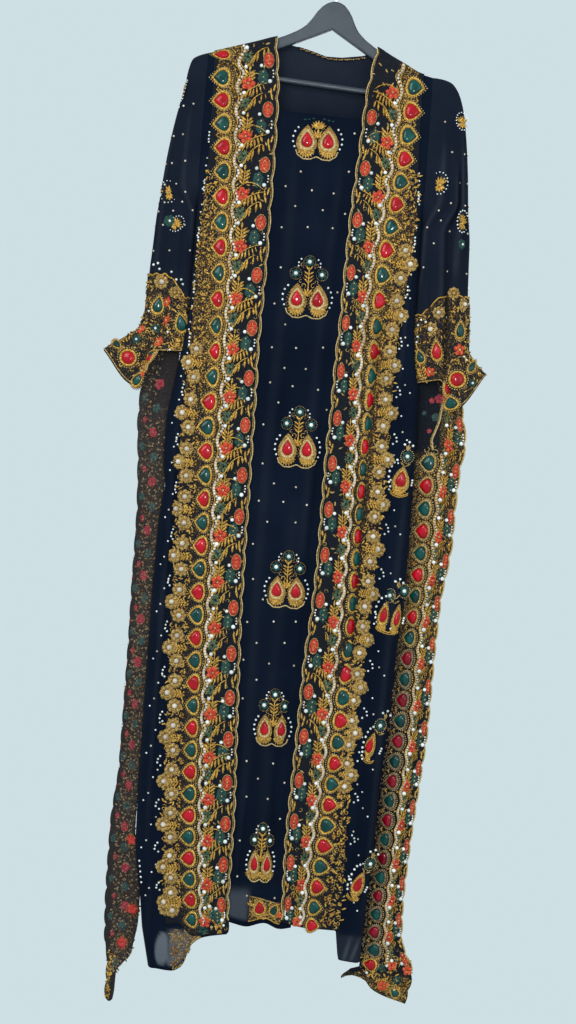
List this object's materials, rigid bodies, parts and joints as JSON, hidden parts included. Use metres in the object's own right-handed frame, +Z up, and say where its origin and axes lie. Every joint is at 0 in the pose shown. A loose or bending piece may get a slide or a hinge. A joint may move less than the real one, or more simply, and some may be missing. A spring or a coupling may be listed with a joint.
{
  "type": "open-front kaftan on a clothes hanger",
  "caption": "Long open-front kaftan hanging on a plain hanger: straight sleeves with broad cuffs, embroidered bands down both front edges and side borders past the hem.",
  "frame": {"origin": "where the hook's wire rests on its rail: the inner top of the hook", "axes": "+X to the wearer's left, +Z up, the front faces -Y"},
  "size_m": [0.6571, 0.0725, 1.8093],
  "materials": {
    "cloth": "semi-sheer georgette, very dark blue",
    "embroidery": "gold thread and beads with set stones",
    "binding": "satin",
    "moulding": "satin dark grey",
    "wire": "polished"
  },
  "bodies": {
    "root": {"hanger_hook": "wire", "hanger_arms": "moulding", "hanger_bar": "moulding", "back_panel": "cloth", "back_neck_binding": "binding", "front_right": "cloth", "front_left": "cloth", "centre_inset": "cloth", "band_right": "embroidery", "band_left": "embroidery", "sleeve_right": "cloth", "sleeve_left": "cloth", "cuff_right": "embroidery", "cuff_left": "embroidery", "side_border_right": "embroidery", "side_border_left": "embroidery", "centre_motif_1": "embroidery", "centre_motif_2": "embroidery", "centre_motif_3": "embroidery", "centre_motif_4": "embroidery", "centre_motif_5": "embroidery", "centre_motif_6": "embroidery", "front_motif_1": "embroidery", "front_motif_2": "embroidery", "front_motif_3": "embroidery", "front_motif_4": "embroidery", "hem_border": "embroidery"}
  },
  "joints": []
}
